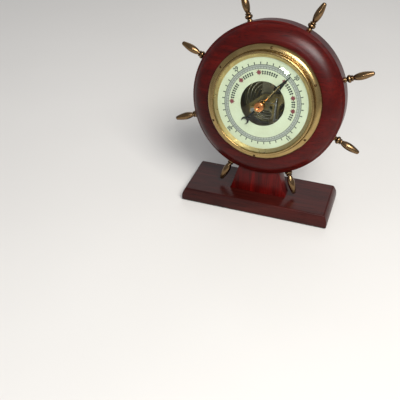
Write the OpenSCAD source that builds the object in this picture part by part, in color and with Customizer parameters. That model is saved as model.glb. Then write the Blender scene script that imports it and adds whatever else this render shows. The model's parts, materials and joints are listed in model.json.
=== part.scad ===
// Desk barometer in a ship's wheel: an aneroid movement in a turned mahogany wheel with eight brass
// handles, leaning back on a pedestal and a moulded base. Millimetres, +Z up, front towards -Y.
// The origin is the centre of the underside of the base.

/* [Base] */
// Width of the base at its foot
base_w = 143.5; // [130:0.5:160]
// Depth of the base at its foot
base_d = 55; // [50:0.5:64]
// Height of the base with its felt
base_h = 14.3; // [12:0.1:18]
// How far each end of the base draws in towards its top
base_inset_x = 3.7; // [1:0.1:6]
// How far the front and back of the base draw in towards its top
base_inset_y = 1.5; // [0.5:0.1:3]
// Thickness of the felt under the base
felt_t = 1; // [0.5:0.1:2]

/* [Pedestal] */
// Width of the pedestal where it stands on the base
ped_foot_w = 55; // [50:0.5:64]
// Width of the pedestal just under the wheel
ped_top_w = 39; // [36:0.5:46]
// Thickness of the pedestal, front to back
ped_t = 14; // [12:0.5:16]
// Centre of the pedestal behind the middle of the base (negative is in front)
ped_y = -3.5; // [-5:0.5:-2]

/* [Wheel] */
// Outer radius of the wooden wheel
wheel_r = 70; // [68:0.5:72]
// Height of the wheel's centre above the table
wheel_z = 106.5; // [105:0.5:108]
// Distance of the wheel's centre behind the middle of the base
wheel_y = 8.5; // [7:0.5:10]
// Angle by which the wheel leans back
lean = 13.5; // [11:0.5:16]
// Distance of the wheel's back face behind its centre
wheel_back = 15; // [15:0.5:18]
// Distance of the wheel's front face before its centre
wheel_front = 15; // [15:0.5:15]

/* [Handles] */
// Number of handles round the wheel
handle_n = 8; // [8:1:8]
// Length of a handle outside the wheel
handle_l = 26; // [24:0.5:30]
// Radius of the round bead near the foot of a handle
bead_r = 3.6; // [3:0.1:4]
// Largest radius of the grip
grip_r = 3.45; // [3:0.05:4]

/* [Front] */
// Outer radius of the brass bezel
bezel_r = 52.3; // [52:0.1:53]
// Radius of the glass
glass_r = 44.9; // [44.9:0.1:44.9]
// Height of the glass dome over its edge
dome_h = 5.7; // [5.2:0.1:6]
// Thickness of the glass
glass_t = 1.6; // [1.4:0.1:1.8]
// Radius of the dial that shows inside the ring
dial_r = 41.2; // [40:0.1:42]
// Radius of the opening in the dial
dial_hole_r = 20.1; // [18:0.1:21]
// Reading of the pressure hand, degrees clockwise from the top
hand_angle = 38.7; // [0:0.1:90]
// Setting of the set hand, degrees clockwise from the top
set_angle = 37.2; // [0:0.1:90]
// Length of the pressure hand from its centre
hand_l = 35.5; // [34:0.5:37]
// Length of the set hand from its centre
set_l = 24; // [20:0.5:32]
// Radius of the setting knob
knob_r = 4.3; // [3.5:0.1:5]

/* [Movement] */
// Radius of the corrugated part of the capsule
capsule_r = 22; // [20:0.5:22]
// Distance between two corrugations
wave_pitch = 3; // [2.5:0.1:3.5]
// Height of a corrugation each way from the middle
wave_h = 0.45; // [0.3:0.05:0.6]
// Place of the rocker shaft to the right of the centre
rocker_x = 10.5; // [10.5:0.1:10.5]
// Length of the arm that pulls the chain
chain_arm = 7; // [7:0.1:7]
// Length of the crank that the link turns
crank_l = 4.2; // [4.2:0.1:4.2]

/* [Hidden] */
$fn = 96;

// Colours
mahogany = "#4c1513";
brass = "#a8853f";
steel = "#8c8f92";

// Clearances
fit = 0.05;      // radial room of a shaft or screw in its hole
part_gap = 0.3;  // room between pieces of different bodies
eye = 0.3;       // how much wider a bar's round end is on each side

// Stand
screw_r = 1.75;
screw_head_r = 3.6;
screw_head_h = 2.4;
screw_x = 14.5;
screw_len = 26;
counterbore_h = 4.4;
dowel_r = 3;
dowel_x = 8;
dowel_in = 8.5;
dowel_out = 8;
ped_sag = 1.2;   // hollow of the pedestal's flanks

// Wheel, seen in its own frame: x to the right, y up the face, z forward out of the face
bore_r = 46.6;
face_r = 53.5;   // edge of the flat that carries the bezel
arris_r = 67.6;  // edge between the front roundover and the rim chamfer
arris_f = 7.6;
rim_front = 5.2; // front end of the straight rim
back_round = 2;
handle_f = -6.5;
handle_step = 360 / handle_n;
handle_turn = 0.9;  // the handles sit this far clockwise of even about the upright
stud_r = 1.5;
stud_l = 9;

// Bezel
rim_in_r = 45.1;
rim_out_r = 46.3;
rim_top = 25.1;
lip_r = 44.3;
lip_f = 24.3;
band_c = [47.6, 14.9];
band_out = [4.7, 5.3];
band_in = [3.7, 4.3];
nail_n = 6;
nail_turn = 2.5;  // how far clockwise the first nail sits from the top
nail_ring_r = 49;
nail_r = 0.6;
nail_seat = 19.35;
nail_head_r = 1.5;
nail_tip = 8;

// Case
can_r = 46;
can_t = 0.7;
can_back = -13.2;
can_floor = -12.4;
lip_out_r = 48.1;
lip_t = 0.5;

// Dial and hands
dial_back = 20.2;
dial_face = 20.9;
dial_out_r = 44.8;
ring_top = 22.3;
hand_f = 22;
hand_t = 0.4;
set_f = 24.2;
set_t = 0.3;
dome_top = 29.8;
dome_r = (glass_r * glass_r + dome_h * dome_h) / (2 * dome_h);
set_arbor_r = 1.5;
knob_f = 30.3;
knob_h = 4.9;

// Movement levels, all measured forward from the wheel's centre
plate_top = -10.9;
plate_r = 42;
capsule_low = -8.9;
capsule_mid = -6.5;
capsule_high = -3.9;
skin = 0.3;
waves = 5.5;     // corrugations from the level middle to the wall
flange_r = 25;
leaf_f = 3.6;
leaf_t = 0.8;
leaf_tip = -10;
foot_y = 33;
lever_t = 1;
lever_tip_y = -15;
link_x = rocker_x + crank_l;
bridge_f = 7.6;
bridge_t = 1.2;
bridge_top = bridge_f + bridge_t;
rocker_f = 11.5;
rocker_top = 4.5;
rocker_low = -17;
lug_t = 1.5;
cock_f = 15.2;
cock_t = 1;
drum_f = rocker_f + chain_arm - 0.3;
drum_r = 0.7;
chain_y = drum_r + part_gap;
spring_turns = 5;
spring_r0 = 1.8;
spring_r1 = 6;
spring_end = -17;
spring_f = 12.6;

pillar_at = [[-23, -20], [29, 6], [12, -28]];
dial_pillar_at = [for (a = [60, 180, 300]) 40 * [sin(a), cos(a)]];
case_screw_at = [for (a = [30, 150, 270]) 36 * [sin(a), cos(a)]];
cock_foot = [-9, -8];
stud_at = (spring_r1 + 0.65) * [cos(spring_end), sin(spring_end)];

// Points along an arc with centre c and radii r = [across, up]
function arc(c, r, a0, a1, n = 8) =
    [for (i = [0:n]) let (a = a0 + (a1 - a0) * i / n) [c[0] + r[0] * cos(a), c[1] + r[1] * sin(a)]];

// Radius of the circle that rises by h while it draws in by d
function edge_radius(d, h) = (d * d + h * h) / (2 * d);

// Half of a moulded edge: upright at the foot, then curving in by inset up to the top
function moulded_edge(half, inset, foot, top) =
    let (h = top - foot, r = edge_radius(inset, h), a = asin(h / r))
    arc([half - r, foot], [r, r], 0, a);

// Radius of a handle's grip at t, from 0 at its neck to 1 at its tip
function grip_radius(t) = 2 + (grip_r - 2) * sin(180 * pow(t, 0.85));

// Place the children in the wheel's own frame
module at_wheel() {
    translate([0, wheel_y, wheel_z]) rotate([90 - lean, 0, 0]) children();
}

// A cylinder along the wheel's axis between two levels
module level(r, from, to, at = [0, 0]) {
    translate([at[0], at[1], from]) cylinder(r = r, h = to - from);
}

// A flat bar between two points, with round eyes a little wider than the bar
module bar2d(a, b, w) {
    d = b - a;
    translate(a) rotate(atan2(d[1], d[0])) translate([0, -w / 2]) square([norm(d), w]);
    for (p = [a, b]) translate(p) circle(r = w / 2 + eye);
}

// A cross section that is the same on both sides of the middle
module mirrored_section(half_points) {
    polygon(concat(half_points,
        [for (i = [len(half_points) - 1:-1:0]) [-half_points[i][0], half_points[i][1]]]));
}

// ---- Stand ----

module base_section(width, inset) {
    foot = felt_t + 3;
    mirrored_section(concat([[width / 2, felt_t]], moulded_edge(width / 2, inset, foot, base_h)));
}

module base_block() {
    color(mahogany) difference() {
        intersection() {
            rotate([90, 0, 0]) linear_extrude(base_d + 2, center = true)
                base_section(base_w, base_inset_x);
            rotate([90, 0, 90]) linear_extrude(base_w + 2, center = true)
                base_section(base_d, base_inset_y);
        }
        for (s = [-1, 1]) translate([s * screw_x, ped_y, 0]) {
            cylinder(r = screw_r + fit, h = base_h + 1);
            cylinder(r = screw_head_r + 0.3, h = felt_t + counterbore_h);
        }
    }
}

module base_felt() {
    margin = 1;
    color("#1f3d2a") translate([margin - base_w / 2, margin - base_d / 2, 0])
        cube([base_w - 2 * margin, base_d - 2 * margin, felt_t]);
}

module pedestal_outline() {
    top = wheel_z - wheel_r + 12;
    rise = top - base_h;
    draw = (ped_foot_w - ped_top_w) / 2;
    flank = [for (i = [0:10]) let (t = i / 10)
        [ped_foot_w / 2 - draw * t - ped_sag * sin(180 * t), base_h + rise * t]];
    mirrored_section(flank);
}

module pedestal() {
    color(mahogany) difference() {
        translate([0, ped_y, 0]) rotate([90, 0, 0]) linear_extrude(ped_t, center = true)
            pedestal_outline();
        at_wheel() cylinder(r = wheel_r, h = 4 * ped_t, center = true);
        for (s = [-1, 1]) translate([s * screw_x, ped_y, base_h - 1])
            cylinder(r = screw_r + fit, h = screw_len + 0.3 - base_h + 1);
        at_dowels() dowel_shape(dowel_r + fit, 0.2);
    }
}

module pedestal_screws() {
    seat = felt_t + counterbore_h;
    color(steel) for (s = [-1, 1]) translate([s * screw_x, ped_y, seat]) difference() {
        union() {
            cylinder(r = screw_r, h = screw_len - seat - 4);
            translate([0, 0, screw_len - seat - 4]) cylinder(r1 = screw_r, r2 = 0.3, h = 4);
            translate([0, 0, -screw_head_h]) cylinder(r = screw_head_r, h = screw_head_h);
        }
        translate([-screw_head_r - 1, -0.5, -screw_head_h - 1])
            cube([2 * screw_head_r + 2, 1, 2]);
    }
}

// The dowels run up the wheel's face, from the pedestal into the rim
module at_dowels() {
    ped_f = (wheel_y - ped_y - wheel_r * sin(lean)) / cos(lean);
    for (s = [-1, 1]) at_wheel() translate([s * dowel_x, -wheel_r, ped_f]) children();
}

module dowel_shape(r, more = 0) {
    translate([0, dowel_in + more, 0]) rotate([90, 0, 0])
        cylinder(r = r, h = dowel_in + dowel_out + 2 * more);
}

module pedestal_dowels() {
    color("#b98d5c") at_dowels() dowel_shape(dowel_r);
}

// ---- Wheel ----

module wheel_section() {
    front_r = (pow(arris_r - face_r, 2) + pow(wheel_front - arris_f, 2))
        / (2 * (wheel_front - arris_f));
    front_a = acos((arris_r - face_r) / front_r);
    polygon(concat(
        [[bore_r, -wheel_back]],
        arc([wheel_r - back_round, back_round - wheel_back], [back_round, back_round], -90, 0, 4),
        [[wheel_r, rim_front]],
        arc([face_r, wheel_front - front_r], [front_r, front_r], front_a, 90),
        [[bore_r, wheel_front]]));
}

module wheel_body() {
    color(mahogany) difference() {
        at_wheel() difference() {
            rotate_extrude($fn = 180) wheel_section();
            for (i = [1:handle_n]) at_handle(i) translate([0, 0, -stud_l - 0.3])
                cylinder(r = stud_r + fit, h = stud_l + 2);
            at_nails() level(nail_r + fit, nail_tip - 0.3, wheel_front + 1);
        }
        at_dowels() dowel_shape(dowel_r + fit, 0.2);
    }
}

// The foot of handle number i, with z out along the handle
module at_handle(i) {
    rotate([0, 0, -handle_step * (i - 0.5) - handle_turn]) translate([0, wheel_r, handle_f])
        rotate([-90, 0, 0]) children();
}

module handle_section() {
    neck_f = 7.9;
    tip_f = handle_l - 1.7;
    polygon(concat(
        [[0, -stud_l], [stud_r, -stud_l], [stud_r, 0], [2.6, 0], [2.6, 0.7], [2.05, 1.3]],
        arc([1.6, 3.9], [bead_r - 1.6, 1.9], -75, 75),
        arc([2.1, 6.5], [0.8, 0.6], -80, 80, 4),
        [for (i = [0:14]) [grip_radius(i / 14), neck_f + (tip_f - neck_f) * i / 14]],
        arc([0, tip_f], [2, 1.7], 15, 90, 5)));
}

module handle(i) {
    color(brass) at_wheel() at_handle(i) rotate_extrude($fn = 48) handle_section();
}

module handle_1() { handle(1); }
module handle_2() { handle(2); }
module handle_3() { handle(3); }
module handle_4() { handle(4); }
module handle_5() { handle(5); }
module handle_6() { handle(6); }
module handle_7() { handle(7); }
module handle_8() { handle(8); }

// ---- Bezel, glass and dial ----

module at_nails() {
    for (i = [0:nail_n - 1]) rotate([0, 0, -360 / nail_n * i - nail_turn]) translate([0, nail_ring_r, 0])
        children();
}

module nail_shape(more = 0) {
    ball_r = 1.6;
    cap = sqrt(ball_r * ball_r - nail_head_r * nail_head_r);
    level(nail_r + more, nail_tip, nail_seat + 0.2);
    intersection() {
        translate([0, 0, nail_seat - cap]) sphere(r = ball_r + more, $fn = 48);
        level(3, nail_seat - more, nail_seat + 3);
    }
}

module bezel_section() {
    polygon(concat(
        [[band_c[0] + band_in[0], wheel_front], [bezel_r, wheel_front]],
        arc(band_c, band_out, 8, 96, 12),
        [[46.6, 19.4], [rim_out_r, 19.7]],
        arc([rim_out_r - 0.8, rim_top - 0.8], [0.8, 0.8], 0, 90, 5),
        arc([lip_r + 0.35, rim_top - 0.35], [0.35, 0.35], 90, 180, 3),
        [[lip_r, lip_f], [rim_in_r, lip_f], [rim_in_r, wheel_front + lip_t + 0.1],
            [rim_out_r, wheel_front + lip_t + 0.1], [rim_out_r, 18.4]],
        arc(band_c, band_in, 96, 8, 12)));
}

module bezel() {
    color(brass) at_wheel() difference() {
        rotate_extrude($fn = 180) bezel_section();
        at_nails() nail_shape(0.03);
    }
}

module bezel_nails() {
    color("#7d6230") at_wheel() at_nails() nail_shape();
}

module crystal() {
    color([0.85, 0.92, 0.95, 0.35]) at_wheel() intersection() {
        translate([0, 0, dome_top - dome_r]) difference() {
            sphere(r = dome_r, $fn = 360);
            sphere(r = dome_r - glass_t, $fn = 360);
            cylinder(r = set_arbor_r + fit, h = 2 * dome_r);
        }
        level(glass_r, 15, 40);
    }
}

module glass_ring() {
    color("#c9a24a") at_wheel() rotate_extrude($fn = 180)
        polygon([[dial_r, dial_face], [rim_in_r - 0.1, dial_face], [rim_in_r - 0.1, ring_top],
            [rim_in_r - 0.7, ring_top], [dial_r, dial_face + 0.5]]);
}

module set_knob() {
    top = knob_f + knob_h;
    color("#b06a3c") at_wheel() difference() {
        union() {
            level(set_arbor_r, set_f - 0.9, knob_f + 1);
            rotate_extrude($fn = 64) polygon(concat(
                [[0, knob_f], [3.2, knob_f], [3.2, knob_f + 0.7], [knob_r, knob_f + 1.1]],
                arc([knob_r - 0.9, top - 1], [0.9, 0.8], 0, 90, 5),
                [[0, top]]));
        }
        level(1.4, top - 0.9, top + 1);
        rotate([0, 0, -set_angle]) translate([-0.35, -1.9, top - 1.3]) cube([0.7, 3.8, 2]);
    }
}

module knob_washer() {
    color("#3b2f28") at_wheel() difference() {
        level(3.6, dome_top + 0.05, knob_f);
        level(set_arbor_r + fit, dome_top - 1, knob_f + 1);
    }
}

module spring_washer() {
    top = dome_top - glass_t - 0.1;
    color(brass) at_wheel() difference() {
        translate([0, 0, top - 0.8]) cylinder(r1 = 3, r2 = 4, h = 0.8);
        level(set_arbor_r + fit, top - 2, top + 1);
    }
}

module set_hand() {
    hub_top = dome_top - glass_t - 0.9;
    color("#c8a64e") at_wheel() rotate([0, 0, -set_angle]) difference() {
        union() {
            translate([0, 0, set_f]) linear_extrude(set_t) {
                polygon([[-0.7, 0], [0.7, 0], [0.35, set_l - 1], [0, set_l], [-0.35, set_l - 1]]);
                polygon([[-0.8, 0], [0.8, 0], [0.55, -7], [-0.55, -7]]);
                translate([0, -7.5]) circle(r = 1.2, $fn = 32);
            }
            level(2.6, set_f, hub_top);
        }
        level(set_arbor_r + fit, set_f - 1, hub_top + 1);
    }
}

module set_nut() {
    color(brass) at_wheel() difference() {
        level(2.3, set_f - 0.8, set_f);
        level(set_arbor_r + fit, set_f - 2, set_f + 1);
    }
}

module pressure_hand() {
    moon = -21.8;
    color("#15130f") at_wheel() rotate([0, 0, -hand_angle]) difference() {
        union() {
            translate([0, 0, hand_f]) linear_extrude(hand_t) {
                polygon([[-0.75, 0], [0.75, 0], [0.6, 22], [-0.6, 22]]);
                polygon([[0, 21.6], [2.3, 20.3], [1.5, 25.5], [0.45, 32], [0.25, hand_l - 0.5],
                    [0, hand_l], [-0.25, hand_l - 0.5], [-0.45, 32], [-1.5, 25.5], [-2.3, 20.3]]);
                polygon([[-0.75, 0], [0.75, 0], [1.1, moon + 3], [-1.1, moon + 3]]);
                difference() {
                    translate([0, moon]) circle(r = 3.5, $fn = 48);
                    translate([0, moon - 1.3]) circle(r = 2.5, $fn = 48);
                }
                circle(r = 2.7, $fn = 48);
            }
            level(1.6, hand_f - 0.9, hand_f + hand_t);
        }
        level(0.65, hand_f - 2, hand_f + 2);
    }
}

module hand_arbor() {
    color(steel) at_wheel() rotate_extrude($fn = 48) polygon([
        [0, bridge_f - 0.3], [0.5, bridge_f - 0.3], [0.5, bridge_top + 0.1], [0.9, bridge_top + 0.1],
        [0.9, spring_f - 0.3], [1.4, spring_f - 0.3], [1.4, spring_f + 0.9], [0.9, spring_f + 0.9],
        [0.9, cock_f - 0.1], [0.7, cock_f - 0.1], [0.7, drum_f - 0.9], [1.6, drum_f - 0.9],
        [1.6, drum_f - 0.6], [drum_r, drum_f - 0.6], [drum_r, drum_f + 0.6], [1.6, drum_f + 0.6],
        [1.6, drum_f + 0.9], [0.6, drum_f + 0.9], [0.6, hand_f + 0.7], [0, hand_f + 0.7]]);
}

module dial_plate() {
    color("#e6e6d2") at_wheel() difference() {
        level(dial_out_r, dial_back, dial_face);
        level(dial_hole_r, dial_back - 1, dial_face + 1);
    }
}

module dial_pillars() {
    color(brass) at_wheel() for (p = dial_pillar_at) level(1.6, plate_top, dial_back, p);
}

// ---- Case ----

module case_can() {
    color("#9b7d3f") at_wheel() difference() {
        rotate_extrude($fn = 180) polygon([
            [0, can_back], [can_r, can_back], [can_r, wheel_front], [lip_out_r, wheel_front],
            [lip_out_r, wheel_front + lip_t], [can_r - can_t, wheel_front + lip_t],
            [can_r - can_t, can_floor], [0, can_floor]]);
        level(5.5, can_back - 1, can_floor + 1);
        level(1.7, can_back - 1, can_floor + 1, [0, foot_y]);
        for (p = case_screw_at) level(1.2 + fit, can_back - 1, can_floor + 1, p);
    }
}

// A slotted screw head that stands back from level z, with its slot turned by a
module back_head(r, h, z, a, at) {
    translate([at[0], at[1], 0]) difference() {
        level(r, z - h, z);
        rotate([0, 0, a]) translate([-r - 1, -0.35, z - h - 1]) cube([2 * r + 2, 0.7, 1.5]);
    }
}

module case_screws() {
    color(steel) at_wheel() for (p = case_screw_at) {
        back_head(2.2, 1, can_back, atan2(p[1], p[0]) + 20, p);
        level(1.2, can_back, plate_top, p);
    }
}

// ---- Movement ----

module movement_plate() {
    color("#8f7a40") at_wheel() difference() {
        level(plate_r, can_floor, plate_top);
        level(1.5 + fit, can_floor - 1, plate_top + 1);
        level(1.7, can_floor - 1, plate_top + 1, [0, foot_y]);
        for (p = case_screw_at) level(1.2 + fit, can_floor - 1, plate_top + 1, p);
    }
}

// Half of the capsule: a corrugated disc at level z whose wall reaches the flange at level w
module diaphragm(z, w) {
    n = 60;
    inner_r = capsule_r - waves * wave_pitch;
    low = [for (i = [0:n])
        [inner_r + (capsule_r - inner_r) * i / n, z + wave_h * sin(360 * waves * i / n)]];
    skin_up = [0, skin];
    under = concat([[0, low[0][1]]], low, [[capsule_r + 1, w], [flange_r, w]]);
    over = [for (i = [len(under) - 1:-1:0]) under[i] + skin_up];
    rotate_extrude() polygon(concat(under, over));
}

module capsule_lower() {
    color("#8a8b80") at_wheel() {
        diaphragm(capsule_low, capsule_mid - skin);
        level(4, plate_top, capsule_low + 0.1);
        level(1.5, can_floor - 1.9, plate_top + 0.1);
    }
}

module capsule_upper() {
    color("#8a8b80") at_wheel() mirror_level(capsule_mid)
        diaphragm(2 * capsule_mid - capsule_high - skin, capsule_mid - skin - 0.1);
}

// Mirror the children in the level z
module mirror_level(z) {
    translate([0, 0, z]) mirror([0, 0, 1]) translate([0, 0, -z]) children();
}

module capsule_post() {
    seat = capsule_high + skin + 0.05;
    color(brass) at_wheel() difference() {
        union() {
            level(3.8, seat, seat + 1.2);
            level(1.4, seat, leaf_f + leaf_t + 1.2);
        }
        translate([-3, 0, leaf_f + leaf_t + 0.55]) rotate([0, 90, 0]) cylinder(r = 0.5 + fit, h = 6);
    }
}

module knife_pin() {
    color(steel) at_wheel() translate([-3, 0, leaf_f + leaf_t + 0.55]) rotate([0, 90, 0])
        cylinder(r = 0.5, h = 6);
}

module capsule_nut() {
    color(brass) at_wheel() difference() {
        translate([0, 0, can_floor - 1.8]) cylinder(r = 4, h = 1.8, $fn = 6);
        level(1.5 + fit, can_floor - 3, can_floor + 1);
    }
}

module spring_bracket() {
    color("#77683a") at_wheel() difference() {
        translate([-8, foot_y - 5, plate_top]) cube([16, 10, leaf_f - plate_top]);
        level(1.6 + fit, plate_top - 1, plate_top + 9, [0, foot_y]);
        for (s = [-1, 1]) level(1 + fit, leaf_f - 4, leaf_f + 1, [s * 3.6, foot_y]);
        translate([-9, foot_y - 6, plate_top + 5]) cube([18, 4, 5]);
    }
}

module main_spring() {
    color("#6f6a4e") at_wheel() translate([0, 0, leaf_f]) linear_extrude(leaf_t) difference() {
        union() {
            polygon([[-7, foot_y + 4], [7, foot_y + 4], [4.5, 0], [3.4, leaf_tip],
                [-3.4, leaf_tip], [-4.5, 0]]);
        }
        circle(r = 1.8);
        for (s = [-1, 1]) {
            translate([s * 3.6, foot_y]) circle(r = 1 + fit);
            translate([s * 1.7, leaf_tip + 3]) circle(r = 0.6 + fit);
        }
    }
}

module spring_clamp() {
    color(brass) at_wheel() translate([0, 0, leaf_f + leaf_t]) linear_extrude(1.2) difference() {
        translate([-7, foot_y - 4]) square([14, 8]);
        for (s = [-1, 1]) translate([s * 3.6, foot_y]) circle(r = 1 + fit);
    }
}

// A slotted screw along the wheel's axis, its head standing forward from level z
module front_screw(r, len, head_r, head_h, z, at, a = 0) {
    level(r, z - len, z + 0.1, at);
    translate([at[0], at[1], 0]) difference() {
        level(head_r, z, z + head_h);
        rotate([0, 0, a]) translate([-head_r - 1, -0.3, z + head_h - 0.5])
            cube([2 * head_r + 2, 0.6, 2]);
    }
}

module spring_screws() {
    color(steel) at_wheel() for (s = [-1, 1])
        front_screw(1, 5, 1.8, 1.1, leaf_f + leaf_t + 1.2, [s * 3.6, foot_y], 30 * s);
}

module adjusting_screw() {
    color(brass) at_wheel() {
        level(1.6, can_back - 0.1, plate_top + 8.5, [0, foot_y]);
        back_head(3, 1.3, can_back - 0.1, 35, [0, foot_y]);
    }
}

module main_lever() {
    rivet_y = leaf_tip + 3;
    color("#7c7c70") at_wheel() translate([0, 0, leaf_f + leaf_t]) linear_extrude(lever_t)
        difference() {
            union() {
                bar2d([-1.7, rivet_y], [1.7, rivet_y], 3.4);
                bar2d([1.7, rivet_y], [link_x, lever_tip_y], 2.4);
            }
            for (s = [-1, 1]) translate([s * 1.7, rivet_y]) circle(r = 0.6 + fit);
        }
}

module lever_rivets() {
    color(brass) at_wheel() for (s = [-1, 1]) {
        at = [s * 1.7, leaf_tip + 3];
        level(0.6, leaf_f - 0.5, leaf_f + leaf_t + lever_t + 0.5, at);
        level(1.1, leaf_f - 0.5, leaf_f, at);
        level(1.1, leaf_f + leaf_t + lever_t, leaf_f + leaf_t + lever_t + 0.5, at);
    }
}

module link_rod() {
    low = leaf_f + leaf_t + lever_t + part_gap;
    high = rocker_f - 0.5 - part_gap;
    color(steel) at_wheel() {
        level(0.4, low, high, [link_x, lever_tip_y]);
        level(0.7, low, low + 0.6, [link_x, lever_tip_y]);
        level(0.7, high - 0.6, high, [link_x, lever_tip_y]);
    }
}

module rocker_shaft() {
    pivot = 1.9;
    color("#b9b6a4") at_wheel() {
        translate([rocker_x, rocker_top, rocker_f]) rotate([90, 0, 0])
            cylinder(r = 1, h = rocker_top - rocker_low);
        translate([rocker_x, rocker_top + pivot, rocker_f]) rotate([90, 0, 0])
            cylinder(r = 0.5, h = rocker_top - rocker_low + 2 * pivot);
        translate([rocker_x, lever_tip_y, rocker_f]) rotate([0, 90, 0])
            cylinder(r = 0.35, h = crank_l);
        level(1.1, rocker_f - 0.5, rocker_f + 0.5, [link_x, lever_tip_y]);
        translate([rocker_x - 0.5, chain_y - 0.4, rocker_f]) cube([1, 1, chain_arm + 0.3]);
    }
}

module chain() {
    chain_w = 0.5;
    color(steel) at_wheel() translate([-2.5, chain_y, drum_f - chain_w / 2])
        cube([rocker_x - 0.5 - part_gap + 2.5, 0.25, chain_w]);
}

module hairspring() {
    n = 24 * spring_turns;
    half = 0.1;
    path = [for (i = [0:n])
        [spring_r0 + (spring_r1 - spring_r0) * i / n, 360 * i / 24 + spring_end]];
    color("#5d6f86") at_wheel() translate([0, 0, spring_f]) linear_extrude(0.6)
        polygon(concat(
            [for (p = path) (p[0] + half) * [cos(p[1]), sin(p[1])]],
            [for (i = [n:-1:0]) (path[i][0] - half) * [cos(path[i][1]), sin(path[i][1])]]));
}

module hairspring_stud() {
    color(brass) at_wheel() level(0.5, bridge_top, spring_f + 0.9, stud_at);
}

module bridge_plate() {
    lug = 4;
    color("#8a7738") at_wheel() difference() {
        union() {
            translate([0, 0, bridge_f]) linear_extrude(bridge_t) {
                bar2d([0, 0], pillar_at[0], 12);
                bar2d([0, 0], [rocker_x, 0], 8);
                bar2d([rocker_x - 1, 3.3], pillar_at[1], 8);
                bar2d([rocker_x - 1, -17.7], pillar_at[2], 8);
                translate([rocker_x - 3.4, -20.6]) square([6.1, 28.3]);
            }
            for (y = [rocker_top + 0.4, rocker_low - 0.4 - lug_t])
                translate([rocker_x - lug / 2, y, bridge_top - 0.1])
                    cube([lug, lug_t, rocker_f + 2 - bridge_top]);
        }
        level(0.5 + fit, bridge_f - 1, bridge_top + 1);
        translate([rocker_x, 12, rocker_f]) rotate([90, 0, 0]) cylinder(r = 0.5 + fit, h = 40);
        for (p = pillar_at) level(1 + fit, bridge_f - 1, bridge_top + 1, p);
        level(1 + fit, bridge_f - 1, bridge_top + 1, cock_foot);
    }
}

module bridge_pillars() {
    color(brass) at_wheel() for (p = pillar_at) difference() {
        level(2.4, plate_top, bridge_f, p);
        level(1 + fit, bridge_f - 5.3, bridge_f + 1, p);
    }
}

module bridge_screws() {
    color(steel) at_wheel() for (i = [0:2])
        front_screw(1, 6, 2.1, 1.1, bridge_top, pillar_at[i], 25 + 50 * i);
}

module cock() {
    color(brass) at_wheel() difference() {
        union() {
            translate([cock_foot[0] - 3, cock_foot[1] - 3, bridge_top])
                cube([6, 6, cock_f - bridge_top]);
            translate([0, 0, cock_f]) linear_extrude(cock_t) {
                bar2d(cock_foot, [0, 0], 4.4);
                translate(cock_foot) square(6, center = true);
            }
        }
        level(0.7 + fit, cock_f - 1, cock_f + cock_t + 1);
        level(1 + fit, bridge_top - 1, cock_f + cock_t + 1, cock_foot);
    }
}

module cock_screw() {
    color(steel) at_wheel()
        front_screw(1, cock_f + cock_t - bridge_f, 2, 1, cock_f + cock_t, cock_foot, 60);
}

base_block();
base_felt();
pedestal();
pedestal_screws();
pedestal_dowels();
wheel_body();
handle_1();
handle_2();
handle_3();
handle_4();
handle_5();
handle_6();
handle_7();
handle_8();
bezel();
bezel_nails();
crystal();
glass_ring();
set_knob();
knob_washer();
spring_washer();
set_hand();
set_nut();
pressure_hand();
hand_arbor();
dial_plate();
dial_pillars();
case_can();
case_screws();
movement_plate();
capsule_lower();
capsule_upper();
capsule_post();
knife_pin();
capsule_nut();
spring_bracket();
main_spring();
spring_clamp();
spring_screws();
adjusting_screw();
main_lever();
lever_rivets();
link_rod();
rocker_shaft();
chain();
hairspring();
hairspring_stud();
bridge_plate();
bridge_pillars();
bridge_screws();
cock();
cock_screw();
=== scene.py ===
import json
import math

import bmesh
import bpy
import numpy as np
from mathutils import Matrix, Quaternion, Vector


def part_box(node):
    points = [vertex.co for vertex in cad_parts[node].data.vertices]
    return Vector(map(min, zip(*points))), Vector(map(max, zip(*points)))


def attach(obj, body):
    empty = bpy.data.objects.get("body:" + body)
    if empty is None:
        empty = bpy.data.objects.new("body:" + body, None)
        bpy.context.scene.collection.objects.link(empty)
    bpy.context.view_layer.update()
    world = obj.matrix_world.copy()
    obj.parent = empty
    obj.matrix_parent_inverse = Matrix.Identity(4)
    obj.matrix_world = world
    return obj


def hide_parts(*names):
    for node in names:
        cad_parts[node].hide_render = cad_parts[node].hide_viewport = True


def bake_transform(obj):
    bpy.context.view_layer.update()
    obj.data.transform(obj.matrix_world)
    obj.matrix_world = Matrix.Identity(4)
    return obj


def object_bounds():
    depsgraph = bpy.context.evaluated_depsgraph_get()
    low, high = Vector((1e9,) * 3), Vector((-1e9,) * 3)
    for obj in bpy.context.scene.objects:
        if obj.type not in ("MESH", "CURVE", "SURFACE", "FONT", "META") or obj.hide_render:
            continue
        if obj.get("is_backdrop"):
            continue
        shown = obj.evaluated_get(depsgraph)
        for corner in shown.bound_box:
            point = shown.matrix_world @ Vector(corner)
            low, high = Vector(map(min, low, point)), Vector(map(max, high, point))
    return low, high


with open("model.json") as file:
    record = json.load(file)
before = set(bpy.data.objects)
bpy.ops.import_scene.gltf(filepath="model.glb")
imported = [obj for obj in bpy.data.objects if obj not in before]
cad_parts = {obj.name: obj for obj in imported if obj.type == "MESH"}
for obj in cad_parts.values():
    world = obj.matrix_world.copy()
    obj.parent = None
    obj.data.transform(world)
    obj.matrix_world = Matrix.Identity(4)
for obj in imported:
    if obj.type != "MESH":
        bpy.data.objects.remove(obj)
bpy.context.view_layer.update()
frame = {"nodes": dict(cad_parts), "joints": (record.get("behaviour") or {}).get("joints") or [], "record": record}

MM = 0.001  # shapes are drawn in millimetres and scaled when they are finished
scene = bpy.context.scene
node_objects = frame["nodes"]
body_of_node = {n: b for b, ns in frame["record"]["behaviour"]["bodies"].items() for n in ns}
slot_of_node = {s["node"]: s["material_slot"] for s in frame["record"]["subparts"]}
joints = {j["name"]: j for j in frame["joints"]}

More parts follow.
